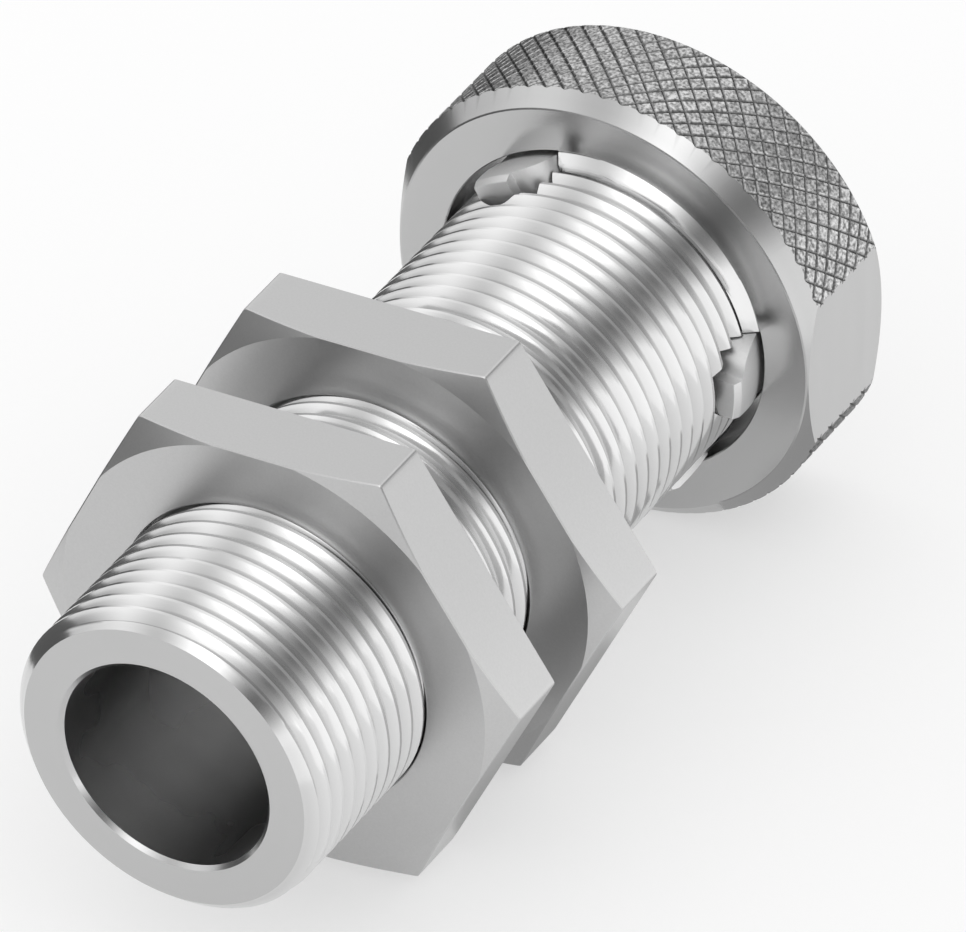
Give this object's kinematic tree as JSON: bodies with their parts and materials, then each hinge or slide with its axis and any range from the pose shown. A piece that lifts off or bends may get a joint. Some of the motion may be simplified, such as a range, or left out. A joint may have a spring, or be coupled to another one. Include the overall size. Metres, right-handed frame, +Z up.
{
  "type": "screw-in fitting",
  "caption": "Threaded through sleeve with hexagon lock nuts for a panel and a knurled clamping nut that slides claws in its slotted rear end.",
  "frame": {"origin": "middle of the whole length, on the common axis of the sleeve and nuts", "axes": "Y along the common axis, from the open end of the sleeve at -Y to the knurled nut at +Y; +Z up, square to a flat of each lock nut"},
  "size_m": [0.0254, 0.0456, 0.0234],
  "materials": {
    "thread_metal": "bright turned metal, screw thread",
    "nut_metal": "satin plated hexagon faces",
    "knurled_metal": "bright turned chamfers, cross-knurled rim, milled flats",
    "claw_metal": "satin machined"
  },
  "bodies": {
    "sleeve": {"threaded_sleeve": "thread_metal"},
    "front_nut": {"front_lock_nut": "nut_metal"},
    "rear_nut": {"rear_lock_nut": "nut_metal"},
    "claws": {"claw_sleeve": "claw_metal"},
    "clamp_nut": {"knurled_nut": "knurled_metal"}
  },
  "joints": [
    {"name": "front_nut_travel", "type": "slide", "parent": "sleeve", "child": "front_nut", "axis": [0, 1, 0], "range_m": [-0.009, 0.0026]},
    {"name": "rear_nut_travel", "type": "slide", "parent": "sleeve", "child": "rear_nut", "axis": [0, 1, 0], "range_m": [-0.0026, 0.013]},
    {"name": "claw_slide", "type": "slide", "parent": "sleeve", "child": "claws", "axis": [0, 1, 0], "range_m": [0, 0.00205]},
    {"name": "nut_turn", "type": "hinge", "parent": "claws", "child": "clamp_nut", "pos_m": [0, 0, 0], "axis": [0, 1, 0], "range_deg": [0, 720]}
  ],
  "couplings": [
    {"joint": "claw_slide", "follows": "nut_turn", "m_per_rad": 0.00015915}
  ]
}
